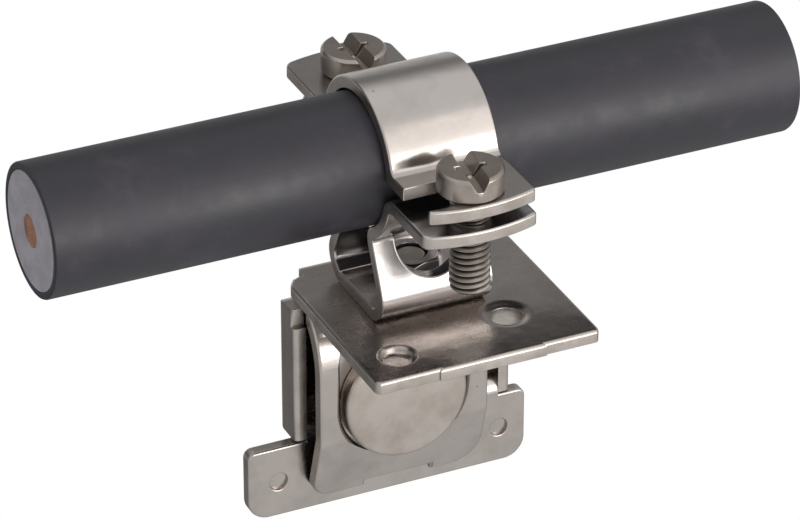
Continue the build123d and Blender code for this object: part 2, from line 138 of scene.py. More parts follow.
# %% Stainless steel
CLOUD = 7.0                  # mm, patches that handling and pickling leave
WAVE = 7.0                   # mm, slow waves that bend the reflections a little
GRAIN_ACROSS = 0.25          # mm. The real grain is several times finer, and wouldn't show.
GRAIN_ALONG = 6.0            # mm
PIT_SPACING = 3.2            # mm, between places where dirt may stick or the skin is picked
PITLESS = 0.72               # share of those places that stay clean
PIT_DEPTH = 0.05             # mm
PIT_DIRT = "4A4540"


def steel(name, colour, stained, rough, grain_axis, grain_depth, wave_depth):
    """Satin steel: cloudy tint and gloss, rolled grain along one axis, waves and pits."""
    material, tree, shader = new_material(name)
    place = add(tree, "ShaderNodeTexCoord").outputs["Object"]
    clouds = add(tree, "ShaderNodeTexNoise", Vector=place, Scale=1 / (CLOUD * MM), Detail=5.0,
                 Roughness=0.6)
    stretch = [1 / (GRAIN_ACROSS * MM)] * 3
    stretch[grain_axis] = 1 / (GRAIN_ALONG * MM)
    grain_place = add(tree, "ShaderNodeMapping", Vector=place, Scale=stretch)
    grain = add(tree, "ShaderNodeTexNoise", Vector=grain_place.outputs["Vector"], Scale=1.0,
                Detail=3.0, Roughness=0.6)
    pits = add(tree, "ShaderNodeTexVoronoi", Vector=place, Scale=1 / (PIT_SPACING * MM))
    near = add(tree, "ShaderNodeMapRange", Value=pits.outputs["Distance"], From_Min=0.02,
               From_Max=0.075, To_Min=1.0, To_Max=0.0)
    chance = add(tree, "ShaderNodeSeparateColor", Color=pits.outputs["Color"])
    rare = add(tree, "ShaderNodeMath", {"operation": "GREATER_THAN"}, _0=chance.outputs["Red"],
               _1=PITLESS)
    pit = add(tree, "ShaderNodeMath", {"operation": "MULTIPLY"}, _0=near.outputs["Result"],
              _1=rare.outputs["Value"])
    tint = add(tree, "ShaderNodeValToRGB", Fac=clouds.outputs["Fac"],
               stops=[(0.34, linear(stained)), (0.58, linear(colour))])
    dirty = add(tree, "ShaderNodeMath", {"operation": "MULTIPLY"}, _0=pit.outputs["Value"], _1=0.55)
    mixed = add(tree, "ShaderNodeMix", {"data_type": "RGBA"}, _0=dirty.outputs["Value"],
                _6=tint.outputs["Color"], _7=linear(PIT_DIRT))
    tree.links.new(mixed.outputs[2], shader.inputs["Base Color"])
    patches = add(tree, "ShaderNodeMapRange", Value=clouds.outputs["Fac"], To_Min=rough + 0.05,
                  To_Max=rough - 0.04, **NOISE)
    streaks = add(tree, "ShaderNodeMapRange", Value=grain.outputs["Fac"], To_Min=-0.02,
                  To_Max=0.02, **NOISE)
    gloss = add(tree, "ShaderNodeMath", {"operation": "ADD"}, _0=patches.outputs["Result"],
                _1=streaks.outputs["Result"])
    tree.links.new(gloss.outputs["Value"], shader.inputs["Roughness"])
    relief = add(tree, "ShaderNodeBump", Strength=1.0, Distance=grain_depth * MM,
                 Height=grain.outputs["Fac"])
    waves = add(tree, "ShaderNodeTexNoise", Vector=place, Scale=1 / (WAVE * MM), Detail=2.5)
    wavy = add(tree, "ShaderNodeBump", Strength=1.0, Distance=wave_depth * MM,
               Height=waves.outputs["Fac"], Normal=relief.outputs["Normal"])
    pitted = add(tree, "ShaderNodeBump", {"invert": True}, Strength=0.6, Distance=PIT_DEPTH * MM,
                 Height=pit.outputs["Value"], Normal=wavy.outputs["Normal"])
    tree.links.new(pitted.outputs["Normal"], shader.inputs["Normal"])
    shader.inputs["Metallic"].default_value = 1.0
    return material


# Depths are in mm. The grain runs along X on strips, and along Z on what was turned.
sheet_steel = steel("pickled stainless sheet", "AFA8A3", "A19A95", rough=0.26, grain_axis=0,
                    grain_depth=0.0018, wave_depth=0.16)
strap_steel = steel("pickled stainless strip", "B4B0AF", "A9A4A2", rough=0.22, grain_axis=0,
                    grain_depth=0.002, wave_depth=0.11)
clip_steel = steel("rolled stainless strip", "B5AFAB", "ABA5A0", rough=0.24, grain_axis=0,
                   grain_depth=0.003, wave_depth=0.09)
bolt_steel = steel("tumbled stainless bolt", "B8B0A8", "A59C94", rough=0.34, grain_axis=2,
                   grain_depth=0.002, wave_depth=0.20)
screw_steel = steel("turned stainless screw", "A39A93", "918880", rough=0.31, grain_axis=2,
                    grain_depth=0.003, wave_depth=0.12)
print("steels:", [m.name for m in (sheet_steel, strap_steel, clip_steel, bolt_steel, screw_steel)])

# %% [markdown]
# The edges of the sheet are sheared, not rolled. A shear tears the lower part of the cut, so the
# edge is duller than the skin and coarse to the eye. Fine noise in its height and its gloss gives
# that, on faces that a rule finds later.

# %% Sheared edges
TEAR = 0.8                   # mm, size of the torn spots
TEAR_DEPTH = 0.03            # mm
EDGE_CLOUD = 5.0             # mm
EDGE_ROUGH = 0.36


def sheared(name, colour, stained):
    """Sheared edge: a torn, duller surface in a cloudy tint."""
    material, tree, shader = new_material(name)
    place = add(tree, "ShaderNodeTexCoord").outputs["Object"]
    torn = add(tree, "ShaderNodeTexNoise", Vector=place, Scale=1 / (TEAR * MM), Detail=5.0,
               Roughness=0.7)
    clouds = add(tree, "ShaderNodeTexNoise", Vector=place, Scale=1 / (EDGE_CLOUD * MM), Detail=3.0)
    tint = add(tree, "ShaderNodeValToRGB", Fac=clouds.outputs["Fac"],
               stops=[(0.35, linear(stained)), (0.6, linear(colour))])
    tree.links.new(tint.outputs["Color"], shader.inputs["Base Color"])
    gloss = add(tree, "ShaderNodeMapRange", Value=torn.outputs["Fac"], To_Min=EDGE_ROUGH - 0.08,
                To_Max=EDGE_ROUGH + 0.1, **NOISE)
    tree.links.new(gloss.outputs["Result"], shader.inputs["Roughness"])
    relief = add(tree, "ShaderNodeBump", Strength=0.8, Distance=TEAR_DEPTH * MM,
                 Height=torn.outputs["Fac"])
    tree.links.new(relief.outputs["Normal"], shader.inputs["Normal"])
    shader.inputs["Metallic"].default_value = 1.0
    return material


edge_steel = sheared("sheared stainless edge", "B5AEA8", "A29A92")
print("edge:", edge_steel.name)

# %% [markdown]
# ## Sheath of the conductor
#
# The sheath is polyethylene with carbon black, extruded and slightly dull. The die draws fine
# streaks along it, and handling leaves faint scuffs, which are paler and duller than the rest. So
# one noise is stretched along the conductor, and another sets tint and gloss together.

# %% Sheath
STREAK_ALONG = 40.0          # mm
STREAK_ACROSS = 1.2          # mm
STREAK_DEPTH = 0.015         # mm
SCUFF = 9.0                  # mm
SCUFF_DEPTH = 0.10           # mm
POLYETHYLENE_IOR = 1.51


def sheath_material():
    """Extruded black polyethylene: dull, with drawn streaks and scuffs along the conductor."""
    material, tree, shader = new_material("extruded black polyethylene")
    place = add(tree, "ShaderNodeTexCoord").outputs["Object"]
    drawn = add(tree, "ShaderNodeMapping", Vector=place,
                Scale=[1 / (size * MM) for size in (STREAK_ALONG, STREAK_ACROSS, STREAK_ACROSS)])
    streaks = add(tree, "ShaderNodeTexNoise", Vector=drawn.outputs["Vector"], Scale=1.0, Detail=4.0)
    rubbed = add(tree, "ShaderNodeTexNoise", Vector=place, Scale=1 / (SCUFF * MM), Detail=6.0,
                 Roughness=0.65)
    tint = add(tree, "ShaderNodeValToRGB", Fac=rubbed.outputs["Fac"],
               stops=[(0.33, linear("1C1A22")), (0.55, linear("26242C")), (0.72, linear("3A3740"))])
    tree.links.new(tint.outputs["Color"], shader.inputs["Base Color"])
    gloss = add(tree, "ShaderNodeMapRange", Value=rubbed.outputs["Fac"], To_Min=0.40, To_Max=0.64,
                **NOISE)
    tree.links.new(gloss.outputs["Result"], shader.inputs["Roughness"])
    relief = add(tree, "ShaderNodeBump", Strength=1.0, Distance=STREAK_DEPTH * MM,
                 Height=streaks.outputs["Fac"])
    uneven = add(tree, "ShaderNodeBump", Strength=1.0, Distance=SCUFF_DEPTH * MM,
                 Height=rubbed.outputs["Fac"], Normal=relief.outputs["Normal"])
    tree.links.new(uneven.outputs["Normal"], shader.inputs["Normal"])
    shader.inputs["IOR"].default_value = POLYETHYLENE_IOR
    return material


sheath_black = sheath_material()
print("sheath:", sheath_black.name)

# %% [markdown]
# Inside the sheath is grey polyethylene insulation, and in the middle a copper core. Both show
# only at the sawn ends, so they have the marks of the blade and a little smeared unevenness. Both
# are the same graph: only the colours tell the plastic from the metal.

# %% Insulation and core
BLADE_MARK = 0.6             # mm between marks, which is a little coarser than real ones
BLADE_DEPTH = 0.012          # mm
SMEAR = 2.5                  # mm
SMEAR_DEPTH = 0.06           # mm
SAWN_ROUGH = 0.55
BANDS_PER_UNIT = 20 / (2 * pi)   # what a wave texture draws at a scale of one


def sawn_material(name, colour, darker, metal):
    """Sawn end face: fine parallel marks of the blade, and a little unevenness."""
    material, tree, shader = new_material(name)
    place = add(tree, "ShaderNodeTexCoord").outputs["Object"]
    blade = add(tree, "ShaderNodeMapping", Vector=place, Rotation=(radians(35), 0, 0))
    marks = add(tree, "ShaderNodeTexWave", {"bands_direction": "Z"}, Vector=blade.outputs["Vector"],
                Scale=1 / BANDS_PER_UNIT / (BLADE_MARK * MM), Distortion=2.5, Detail=3.0)
    blotches = add(tree, "ShaderNodeTexNoise", Vector=place, Scale=1 / (SMEAR * MM), Detail=5.0)
    tint = add(tree, "ShaderNodeValToRGB", Fac=blotches.outputs["Fac"],
               stops=[(0.35, linear(darker)), (0.62, linear(colour))])
    tree.links.new(tint.outputs["Color"], shader.inputs["Base Color"])
    relief = add(tree, "ShaderNodeBump", Strength=1.0, Distance=BLADE_DEPTH * MM,
                 Height=marks.outputs["Fac"])
    uneven = add(tree, "ShaderNodeBump", Strength=1.0, Distance=SMEAR_DEPTH * MM,
                 Height=blotches.outputs["Fac"], Normal=relief.outputs["Normal"])
    tree.links.new(uneven.outputs["Normal"], shader.inputs["Normal"])
    gloss = add(tree, "ShaderNodeMapRange", Value=blotches.outputs["Fac"],
                To_Min=SAWN_ROUGH - 0.08, To_Max=SAWN_ROUGH + 0.08, **NOISE)
    tree.links.new(gloss.outputs["Result"], shader.inputs["Roughness"])
    shader.inputs["Metallic"].default_value = metal
    return material


insulation_grey = sawn_material("sawn grey polyethylene", "ACA7B0", "9C98A0", metal=0.0)
core_copper = sawn_material("sawn copper", "C9987E", "AD7E66", metal=1.0)
print("sawn ends:", insulation_grey.name, "and", core_copper.name)

# %% [markdown]
# ## Soft edges on sheet metal
#
# A punch pulls the skin of the sheet down before it cuts, so the edges on its side are round, by
# about a quarter of the thickness. The edges on the die's side stay sharper, and tumbling takes
# only the burr off. One bevel with a single width can't show that. So each CAD node is copied, its
# loose triangles are merged into whole faces, and each sharp edge gets its own width as a bevel
# weight. A rule for each piece says how wide, from the edge's place and the faces beside it.


# %% Copy a CAD node
def only(piece):
    """Deselect everything but this piece, and make it the active one."""
    bpy.ops.object.select_all(action="DESELECT")
    piece.select_set(True)
    bpy.context.view_layer.objects.active = piece


def merge_points(piece, distance):
    """Merge points that are closer than a distance in mm, and join flat areas to single faces."""
    only(piece)
    bpy.ops.object.mode_set(mode="EDIT")
    bpy.ops.mesh.select_all(action="SELECT")
    bpy.ops.mesh.remove_doubles(threshold=distance * MM)
    bpy.ops.mesh.dissolve_limited(angle_limit=radians(1.0))
    bpy.ops.object.mode_set(mode="OBJECT")


def copy_of(node, name, merge=0.04):
    """Merged copy of a CAD node."""
    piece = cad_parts[node].copy()
    piece.data = piece.data.copy()
    piece.name = name
    piece.parent = None
    bpy.context.scene.collection.objects.link(piece)
    only(piece)
    bpy.ops.mesh.customdata_custom_splitnormals_clear()
    merge_points(piece, merge)
    return piece


print("triangles in the bracket's CAD mesh:", len(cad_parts["bracket"].data.polygons))

# %% Soften edges by a rule
WIDEST = 1.5                 # mm, the bevel's own width, which a weight of 1 stands for
TINY = 0.005                 # mm, points closer than this are one


def apply_modifier(piece, name, kind, **settings):
    """Add a modifier with its settings, and apply it."""
    only(piece)
    modifier = piece.modifiers.new(name, kind)
    for key, value in settings.items():
        setattr(modifier, key, value)
    bpy.ops.object.modifier_apply(modifier=modifier.name)


def soften(piece, width_of, segments=3, sharp=20):
    """Bevel each edge sharper than an angle by the width in mm that the rule gives it."""
    mesh = bmesh.new()
    mesh.from_mesh(piece.data)
    weight = mesh.edges.layers.float.new("bevel_weight_edge")
    softened = 0
    for edge in mesh.edges:
        if len(edge.link_faces) != 2 or edge.calc_face_angle(0) < radians(sharp):
            continue
        middle = (edge.verts[0].co + edge.verts[1].co) / 2 / MM
        along = (edge.verts[1].co - edge.verts[0].co).normalized()
        normals = [face.normal for face in edge.link_faces]
        width = width_of(middle, along, normals, edge.is_convex)
        edge[weight] = width / WIDEST
        softened += width > 0
    mesh.to_mesh(piece.data)
    mesh.free()
    apply_modifier(piece, "soft edges", "BEVEL", width=WIDEST * MM, segments=segments,
                   limit_method="WEIGHT", edge_weight="bevel_weight_edge",
                   use_clamp_overlap=False, miter_outer="MITER_ARC", loop_slide=False)
    bpy.ops.object.mode_set(mode="EDIT")
    bpy.ops.mesh.select_all(action="SELECT")
    bpy.ops.mesh.remove_doubles(threshold=TINY * MM)
    bpy.ops.mesh.dissolve_degenerate(threshold=TINY * MM)
    bpy.ops.object.mode_set(mode="OBJECT")
    print(piece.name, "softened edges:", softened)


print("widest soft edge that a rule may ask for:", WIDEST, "mm")

# %% [markdown]
# Each piece is finished in the same way: its skin and its cut faces get their materials, the
# shading is evened out so that flat faces stay flat beside the bevels, the piece is told what it
# rides on, and the CAD node that it stands for is hidden.


# %% Finish a piece
def faults(piece):
    """Number of edges that don't have exactly two faces."""
    mesh = bmesh.new()
    mesh.from_mesh(piece.data)
    found = sum(1 for edge in mesh.edges if len(edge.link_faces) != 2)
    mesh.free()
    return found


def finish_piece(piece, node, body, material, cut=None, is_cut=None):
    """Give a piece its finish and its body, and hide the node that it stands for."""
    piece.data.materials.clear()
    piece.data.materials.append(material)
    if cut:
        piece.data.materials.append(cut)
    for face in piece.data.polygons:
        face.material_index = int(bool(cut) and is_cut(face.center / MM, face.normal))
    only(piece)
    bpy.ops.object.shade_smooth_by_angle(angle=radians(35))
    apply_modifier(piece, "even shading", "WEIGHTED_NORMAL", mode="FACE_AREA", weight=50,
                   keep_sharp=True)
    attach(piece, body)
    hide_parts(node)
    print(piece.name, len(piece.data.polygons), "faces,", faults(piece), "faults")


# %% [markdown]
# ## Bracket
#
# The bracket is one sheet, punched flat and then folded. The punch came from above the plate, so
# the plate's upper rim is the round one. Its dimple and its dished hole were pressed from above
# too, and the sheet flows into them in a soft curve. The ends of the flanges are rounded most,
# because they were rubbed off after folding.

# %% Rules for the bracket
SHEET = 2.0                  # mm, thickness of every sheet piece
FOOT_HEIGHT = 12.0
PLATE_BEND = 3.25            # the plate's upper rim ends here, at the rear bend
DIMPLE = (-9.7, -23.7)       # place of the blind dimple
DIMPLE_RIM = 2.9             # radius that takes in its rim
DISH = (9.7, -19.6)          # place of the dished hole
DISH_RIM = 4.0               # radius that takes in the dent's rim
DISH_HOLE = 3.0              # radius that takes in the edge of the hole
NIB = 18.4                   # the foot's round nibs are this far from the middle
NIB_RIM = 1.6
FLANGES = (-15.6, 20.1)      # the flanges' outer edges lie beyond these
WALL_HALF = 13.0             # half width inside the flanges
TUMBLED = 0.12               # mm, an edge that was only tumbled
PUNCHED = 0.55               # mm, an edge on the punch's side

plate_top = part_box("bracket")[1][2] / MM
plate_low = plate_top - SHEET
foot_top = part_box("bracket")[0][2] / MM + FOOT_HEIGHT


def bracket_edge(middle, along, normals, convex):
    """Width of a bracket edge in mm."""
    x, y, z = middle
    in_plate = z > plate_low + 0.1
    from_dimple = hypot(x - DIMPLE[0], y - DIMPLE[1])
    from_dish = hypot(x - DISH[0], y - DISH[1])
    if from_dimple < DIMPLE_RIM and in_plate:
        return 0.45 if convex else 0.3
    if from_dish < DISH_RIM and in_plate:
        # The dent's rim is soft, and the hole that was cut in it has a fine edge.
        if from_dish > DISH_HOLE:
            return 0.65
        return 0.1 if convex else 0.0
    if not convex:
        return 0.0
    # Upright corners of the plate's front edge lie between two cut faces.
    if y < -28 and all(abs(n.z) < 0.5 for n in normals):
        return 0.0
    if z > plate_top - 0.1:
        return PUNCHED if y < PLATE_BEND else TUMBLED
    # Front edges of the flanges: only their outer side was rubbed round.
    if foot_top + 0.5 < z < plate_low - 0.5 and y < 1.0 and abs(along.z) > 0.9:
        return 0.9 if x < FLANGES[0] or x > FLANGES[1] else 0.0
    # Side edges of the step between foot and wall.
    if foot_top + 0.05 < z < foot_top + 3 and abs(x) > WALL_HALF:
        return 0.0
    if z < foot_top + 0.05 and abs(y) < 0.05:
        return 0.25 if hypot(abs(x) - NIB, z) < NIB_RIM else 0.4
    return TUMBLED


def bracket_cut(middle, normal):
    """Whether a bracket face is sheared: the rims of plate and foot, and the flanges' fronts."""
    x, y, z = middle
    if plate_low + 0.1 < z < plate_top - 0.1 and abs(normal.z) < 0.5:
        return True
    if z < foot_top:
        return abs(normal.y) < 0.5
    return foot_top < z < plate_low and abs(x) > WALL_HALF and y < 1.0 and normal.y < -0.7


print("plate from", round(plate_low, 2), "to", round(plate_top, 2), "mm, foot up to", foot_top)

# %% [markdown]
# The plate's hole was not drilled. A punch pulled the sheet down round it, which leaves a collar
# below the plate and makes the hole's wall higher than the sheet. The collar is a cone with a
# bore, and a Boolean joins it to the copy before the edges are softened, so that it is one piece
# with the plate.

# %% Pull the collar
COLLAR_BORE = 2.5            # mm, radius
COLLAR_WIDTH = 1.8
COLLAR_HEIGHT = 1.6
COLLAR_ROOT = 0.4            # how far the cone reaches up into the sheet
JOINT_POINTS = 0.04          # mm, points closer than this are merged after a Boolean


def pulled_collar(place, bore, width, height):
    """Ring below the plate, where the punch pulled the sheet down round the hole."""
    bpy.ops.object.select_all(action="DESELECT")
    middle = plate_low + (COLLAR_ROOT - height) / 2
    bpy.ops.mesh.primitive_cone_add(vertices=64, radius1=(bore + 0.6 * width) * MM,
                                    radius2=(bore + width) * MM,
                                    depth=(height + COLLAR_ROOT) * MM,
                                    location=(place[0] * MM, place[1] * MM, middle * MM))
    ring = bpy.context.object
    bpy.ops.object.transform_apply(location=True)
    bpy.ops.object.select_all(action="DESELECT")
    bpy.ops.mesh.primitive_cylinder_add(vertices=64, radius=bore * MM, depth=4 * height * MM,
                                        location=(place[0] * MM, place[1] * MM, plate_low * MM))
    pin = bpy.context.object
    bpy.ops.object.transform_apply(location=True)
    apply_modifier(ring, "bore", "BOOLEAN", operation="DIFFERENCE", object=pin, solver="EXACT")
    bpy.data.objects.remove(pin)
    return ring


bracket = copy_of("bracket", "folded_bracket", merge=0.002)
collar = pulled_collar(DISH, COLLAR_BORE, COLLAR_WIDTH, COLLAR_HEIGHT)
apply_modifier(bracket, "collar", "BOOLEAN", operation="UNION", object=collar, solver="EXACT")
bpy.data.objects.remove(collar)
print("bracket and collar:", len(bracket.data.polygons), "faces,", faults(bracket), "faults")
merge_points(bracket, JOINT_POINTS)
soften(bracket, bracket_edge)
finish_piece(bracket, "bracket", "bracket", sheet_steel, edge_steel, bracket_cut)

# %% [markdown]
# ## Jaw
#
# The jaw is blanked and pressed in one stroke, from the front. So its outline is round in front
# and nearly sharp behind, and its sides show the cut. Its inner edges belong to the seat, which is
# shaped by a tool further down.

# %% Rules for the jaw
LIP_END = -3.0               # mm, the lip's lower edge
JAW_SIDE = 13.5              # the jaw's cut sides lie beyond this
SEAT_REACH = 12.0            # the seat lies within this half width
SEAT_TOP = 28.5              # and below this height

jaw_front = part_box("front_jaw")[0][1] / MM
bolt_height = (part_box("jaw_bolt")[0][2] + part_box("jaw_bolt")[1][2]) / 2 / MM


def jaw_edge(middle, along, normals, convex):
    """Width of a jaw edge in mm: only the outline is softened, where skin meets cut."""
    x, y, z = middle
    cut = [abs(n.x) > 0.4 or (z < 0 and abs(n.y) < 0.4) for n in normals]
    inside = abs(x) < SEAT_REACH and -1.0 < z < SEAT_TOP
    if inside or not convex or all(cut) or not any(cut):
        return 0.0
    # The top end, which lies against the wall, was only tumbled.
    if z > 20 and (abs(along.x) > 0.9 or (abs(x) < 13.6 and y > -0.35)):
        return TUMBLED
    front = any(n.y < -0.5 or (n.z > 0.6 and z > 20) for n in normals)
    return 0.5 if front else 0.15


def jaw_cut(middle, normal):
    """Whether a jaw face is sheared."""
    return abs(middle.x) > JAW_SIDE and abs(normal.x) > 0.8


print("jaw's front at y =", round(jaw_front, 2), "mm, bolt at z =", round(bolt_height, 2))

# %% [markdown]
# Sheet that is pressed round a seat can't follow a sharp corner, so the mouth of the seat is the
# roundest edge of all, and it fades out where the seat runs out into the curve of the top. A bevel
# can't fade. So a tool the shape of the press's own punch, with a flared collar, is cut out of the
# jaw.

# %% Press the seat's mouth
SEAT_RADIUS = 10.3           # mm
SEAT_FLARE = 1.2             # radius of the round mouth
SEAT_RISE = 18.0             # the upper half of the punch moves up by this
FLARE_TURNS = (10, 28, 46, 60, 70)   # degrees round the mouth, one for each ring of the punch


def in_fixed_order(piece):
    """Put a mesh's faces in a fixed order, because extruding leaves them in any order."""
    points = [vertex.co.copy() for vertex in piece.data.vertices]
    faces = []
    for face in piece.data.polygons:
        corners = list(face.vertices)
        first = corners.index(min(corners))
        faces.append(corners[first:] + corners[:first])
    piece.data.clear_geometry()
    piece.data.from_pydata(points, [], sorted(faces))


def seat_punch(radius, flare, centre_z, front, rise):
    """Punch with a flared collar: rings from the seat's wall out to the jaw's front."""
    rings = [(front + flare, radius - 0.05)]
    for turn in FLARE_TURNS:
        rings.append((front + flare - flare * sin(radians(turn)),
                      radius + flare - flare * cos(radians(turn))))
    rings.append((front - 1.0, rings[-1][1] + 2.9))
    bpy.ops.object.select_all(action="DESELECT")
    bpy.ops.mesh.primitive_circle_add(vertices=96, radius=rings[0][1] * MM, fill_type="NGON",
                                      location=(0, rings[0][0] * MM, centre_z * MM),
                                      rotation=(radians(90), 0, 0))
    punch = bpy.context.object
    bpy.ops.object.transform_apply(location=True, rotation=True)
    bpy.ops.object.mode_set(mode="EDIT")
    bpy.ops.mesh.select_all(action="SELECT")
    for (y, size), (next_y, next_size) in zip(rings, rings[1:]):
        bpy.ops.mesh.extrude_region_move(
            TRANSFORM_OT_translate={"value": (0, (next_y - y) * MM, 0)})
        grow = next_size / size
        bpy.ops.transform.resize(value=(grow, 1, grow),
                                 center_override=(0, next_y * MM, centre_z * MM))
    bpy.ops.mesh.select_all(action="SELECT")
    bpy.ops.mesh.normals_make_consistent(inside=False)
    bpy.ops.object.mode_set(mode="OBJECT")
    # The upper half moves up, so that the seat is open towards the jaw's top.
    for vertex in punch.data.vertices:
        if vertex.co.z > (centre_z + 0.01) * MM:
            vertex.co.z += rise * MM
    in_fixed_order(punch)
    return punch


jaw = copy_of("front_jaw", "pressed_jaw", merge=0.002)
punch = seat_punch(SEAT_RADIUS, SEAT_FLARE, bolt_height, jaw_front, SEAT_RISE)
apply_modifier(jaw, "seat's mouth", "BOOLEAN", operation="DIFFERENCE", object=punch, solver="EXACT")
bpy.data.objects.remove(punch)
print("jaw with its pressed mouth:", len(jaw.data.polygons), "faces,", faults(jaw), "faults")
merge_points(jaw, JOINT_POINTS)

# %% [markdown]
# The lower corners of the lip are cut round and slanted. Where such an arc meets the slanted end,
# the CAD's points crowd along the edge, and a bevel would fold over itself there. So the points
# are spread evenly along a line first, and what is still too close is merged.

# %% Spread the lip's corners
LIP_SLOPE = 0.3037           # rise of the slanted end for each mm backwards
LEFT_CORNER = ((-10.85, -2.14), (-12.62, -0.23))
RIGHT_CORNER = ((8.85, -2.14), (11.19, -0.23))
ON_LINE = 0.02               # mm, how near to the lip's end a point counts as on it
CROWDED = 0.19               # mm


def open_corner(piece, start, end):
    """Spread the points of a lip's corner along a line between two points, x and y in mm."""
    moved = 0
    for vertex in piece.data.vertices:
        x, y, z = vertex.co / MM
        share = (x - start[0]) / (end[0] - start[0])
        lip_end = LIP_END + (y - start[1]) * LIP_SLOPE
        if 0.02 < share < 0.98 and y > start[1] + 0.005 and abs(z - lip_end) < ON_LINE:
            y = start[1] + share * (end[1] - start[1])
            vertex.co = Vector((x, y, LIP_END + (y - start[1]) * LIP_SLOPE)) * MM
            moved += 1
    return moved


print("points spread:", open_corner(jaw, *RIGHT_CORNER) + open_corner(jaw, *LEFT_CORNER))
only(jaw)
bpy.ops.object.mode_set(mode="EDIT")
bpy.ops.mesh.select_all(action="DESELECT")
bpy.ops.object.mode_set(mode="OBJECT")
for vertex in jaw.data.vertices:
    vertex.select = vertex.co.z < (LIP_END + ON_LINE) * MM
bpy.ops.object.mode_set(mode="EDIT")
bpy.ops.mesh.remove_doubles(threshold=CROWDED * MM)
bpy.ops.object.mode_set(mode="OBJECT")
soften(jaw, jaw_edge)
finish_piece(jaw, "front_jaw", "jaw", sheet_steel, edge_steel, jaw_cut)

# %% [markdown]
# ## Strap
#
# The strap is a strip, blanked and then bent round a mandrel of the conductor's size. Its round
# edges lie on the conductor's side, so that they don't cut into the sheath. The bends hide which
# side of the strip an edge is on, so the rule works it out from the lines of wall and shoulder.

# %% Strap
CRADLE = 11.05               # mm, radius that takes in the cradle's inner side
CRADLE_START = 14.3          # height over the plate where the cradle starts
WINDOW = 5.5                 # radius that takes in the rim of the round window
WINDOW_DROP = 11.9           # the window's middle is this far below the conductor's
HOLE_STEP = 20.0             # the screws are this far before and behind the conductor's middle
BORE_RIM = 0.15              # mm, edge of a hole
STRIP_HALF = 5.4             # holes and window lie within this half width

axis_y = (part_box("conductor_sheath")[0][1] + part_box("conductor_sheath")[1][1]) / 2 / MM
axis_z = (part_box("conductor_sheath")[0][2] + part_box("conductor_sheath")[1][2]) / 2 / MM


def on_inner_side(middle):
    """Whether a point of the strap's outline is on the conductor's side, or inside the loop."""
    out = abs(middle.y - axis_y)
    up = middle.z - plate_top
    if up > CRADLE_START:
        return hypot(out, middle.z - axis_z) < CRADLE or middle.z > axis_z - 2.0
    # More than 1 mm inside the outer lines of wall, shoulder and base.
    wall = (out - 5.7) * 0.905 + (up - 13.4) * 0.425
    shoulder = (out - 6.6) * 0.667 - up * 0.745
    return wall < -1 and shoulder < -1 and up > 1


def strap_edge(middle, along, normals, convex):
    """Width of a strap edge in mm."""
    if not convex:
        return 0.0
    if abs(middle.x) < STRIP_HALF:
        in_window = hypot(middle.x, middle.z - axis_z + WINDOW_DROP) < WINDOW
        if in_window and middle.z > plate_top + 3:
            return 0.3
        in_hole = hypot(middle.x, abs(middle.y - axis_y) - HOLE_STEP) < 3.3
        if in_hole or middle.z < plate_top + 2.1:
            return BORE_RIM
    return 0.45 if on_inner_side(middle) else 0.2


def end_face(middle, normal):
    """Whether a face is cut by the punch at the side or the end of a strip."""
    if abs(normal.x) > 0.9:
        return True
    away = Vector((middle.x, middle.y - axis_y, 0))
    return away.length > 24 and abs(normal.z) < 0.3 and normal.dot(away.normalized()) > 0.8


print("conductor's middle at y, z =", round(axis_y, 2), round(axis_z, 2))
strap = copy_of("cradle_strap", "folded_strap")
soften(strap, strap_edge)
finish_piece(strap, "cradle_strap", "cradle", strap_steel, edge_steel, end_face)

# %% [markdown]
# ## Clip
#
# The clip is a second strip, bent over the conductor. Its round edges lie outside, where a hand
# can reach them. The open slot leaves a thin tip at the front, which a file blunts, so that it
# can't cut anyone: a block stands for the stroke of that file, and a Boolean takes it away.

# %% Clip
FLANGE_TOP = 3.0             # mm, the flanges' upper side over the conductor's middle
SHELL = 11.3                 # radius beyond which a point is on the clip's outer side
SLOT = (-23.3, -15.9)        # reach of the slot's edges before the conductor's middle
FILE_STROKE = (2.0, 2.2, 6.0)
FILE_PLACE = (-9.1, -24.0, 2.0)   # middle of the stroke, from the conductor's middle


def clip_edge(middle, along, normals, convex):
    """Width of a clip edge in mm."""
    if not convex:
        return 0.0
    out = middle.y - axis_y
    in_slot = SLOT[0] < out < SLOT[1] and abs(middle.x) < 8.55
    in_hole = hypot(middle.x, out - HOLE_STEP) < 3.5
    if in_slot or in_hole:
        return BORE_RIM
    top = abs(middle.z - axis_z - FLANGE_TOP) < 0.1
    shell = hypot(out, middle.z - axis_z) > SHELL and middle.z > axis_z + FLANGE_TOP
    return 0.4 if top or shell else 0.15


clip = copy_of("top_clip", "rolled_clip")
bpy.ops.object.select_all(action="DESELECT")
bpy.ops.mesh.primitive_cube_add(size=1, scale=[length * MM for length in FILE_STROKE],
                                location=(FILE_PLACE[0] * MM, (axis_y + FILE_PLACE[1]) * MM,
                                          (axis_z + FILE_PLACE[2]) * MM))
file_stroke = bpy.context.object
bpy.ops.object.transform_apply(location=True, rotation=True, scale=True)
apply_modifier(clip, "blunt tip", "BOOLEAN", operation="DIFFERENCE", object=file_stroke,
               solver="EXACT")
bpy.data.objects.remove(file_stroke)
soften(clip, clip_edge)
finish_piece(clip, "top_clip", "clip", clip_steel, edge_steel, end_face)

# %% [markdown]
# ## Threads
#
# A thread is a groove that climbs by one pitch each turn. It could be carved with a helical
# tool, but the Screw modifier draws it directly: the outline of one pitch is turned round the axis
# while it rises. That gives a threaded bar, a little too thick. A sleeve bored with that bar then
# cuts the grooves into the plain CAD shank, which keeps its flat crests and its chamfered end.

# %% Threaded bar
DEPTH_PER_PITCH = 0.6134     # depth of a metric thread, as a share of its pitch
CREST = (0.44, 0.56)         # the crest's flat lies between these shares of a pitch
PROUD = 0.02                 # mm, the bar's crests stand out by this
STEPS = 40                   # steps in one turn
CUT = 1e-7                   # m, points this near to a cutting plane count as on it


